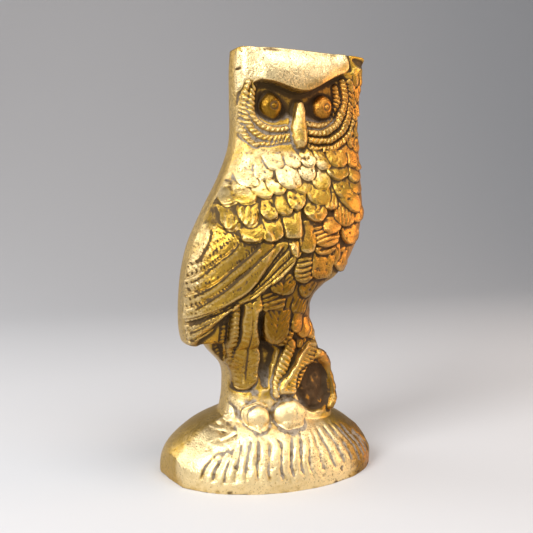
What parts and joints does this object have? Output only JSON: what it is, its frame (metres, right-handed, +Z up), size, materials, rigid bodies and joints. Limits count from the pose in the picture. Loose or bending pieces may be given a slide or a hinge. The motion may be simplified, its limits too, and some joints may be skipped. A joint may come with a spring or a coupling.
{
  "type": "owl figurine",
  "caption": "Hollow cast brass owl standing on an oval grooved mound, face turned to the front, wing folded, brazed side seam, open underside.",
  "frame": {"origin": "centre of the figure's bounding box, on the underside of the rim", "axes": "+Z up through the owl, -Y the side the owl's face looks to, +X the side its breast points to"},
  "size_m": [0.0868, 0.069, 0.165],
  "materials": {
    "cast_brass": "polished sand casting, dark patina left in the hollows",
    "braze": "filed smooth and polished, slightly paler than the casting"
  },
  "bodies": {
    "root": {"front_casting": "cast_brass", "back_casting": "cast_brass", "braze_crown": "braze", "braze_back": "braze", "braze_breast": "braze"}
  },
  "joints": []
}
